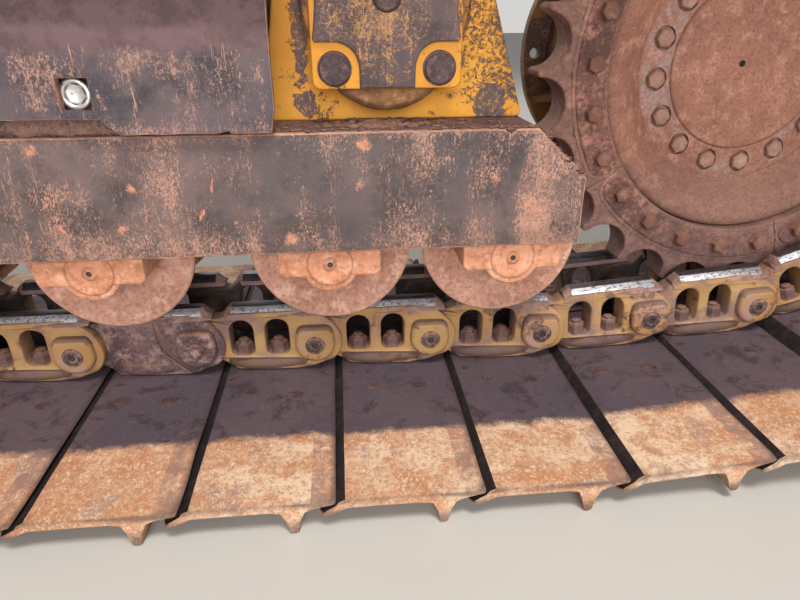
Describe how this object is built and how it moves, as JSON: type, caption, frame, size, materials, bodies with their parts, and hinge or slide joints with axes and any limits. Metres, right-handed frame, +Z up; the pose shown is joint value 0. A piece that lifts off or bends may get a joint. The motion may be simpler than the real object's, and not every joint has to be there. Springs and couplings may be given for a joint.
{
  "type": "crawler track undercarriage",
  "caption": "Left crawler track undercarriage of a bulldozer: a shoe chain round a sprocket, rollers and a front idler on a guarded frame with a pivot hub and a bolted final drive.",
  "frame": {"origin": "on the ground in the track's middle plane, at the tip of the grouser nearest mid length", "axes": "+X forward to the idler, +Y outboard to the machine's left, +Z up"},
  "size_m": [4.459, 0.962, 1.2072],
  "materials": {
    "chain_steel": "worn ochre paint with grime and polished rails",
    "shoe_steel": "rusted rolled steel",
    "frame_steel": "dark steel with salmon rust dust",
    "yellow_paint": "chipped yellow paint",
    "roller_steel": "rust dust over steel",
    "sprocket_steel": "red-brown rust",
    "fitting_metal": "bright plated steel"
  },
  "bodies": {
    "root": {"track_frame": "frame_steel", "roller_guard_outer": "frame_steel", "roller_guard_inner": "frame_steel", "recoil_beam": "frame_steel", "front_cover": "frame_steel", "grease_fitting": "fitting_metal", "pivot_casting": "yellow_paint", "pivot_cap": "frame_steel", "pivot_cap_bolts": "frame_steel", "track_rollers": "roller_steel", "roller_blocks": "roller_steel", "carrier_rollers": "roller_steel", "carrier_brackets": "frame_steel", "idler": "roller_steel", "idler_blocks": "frame_steel", "idler_yoke": "frame_steel", "recoil_end_plate": "frame_steel", "sprocket_hub": "sprocket_steel", "sprocket_segments": "sprocket_steel", "drive_cover": "sprocket_steel", "final_drive_housing": "yellow_paint", "outer_links": "chain_steel", "master_link": "chain_steel", "inner_links": "chain_steel", "track_bushings": "chain_steel", "track_shoes": "shoe_steel"}
  },
  "joints": []
}
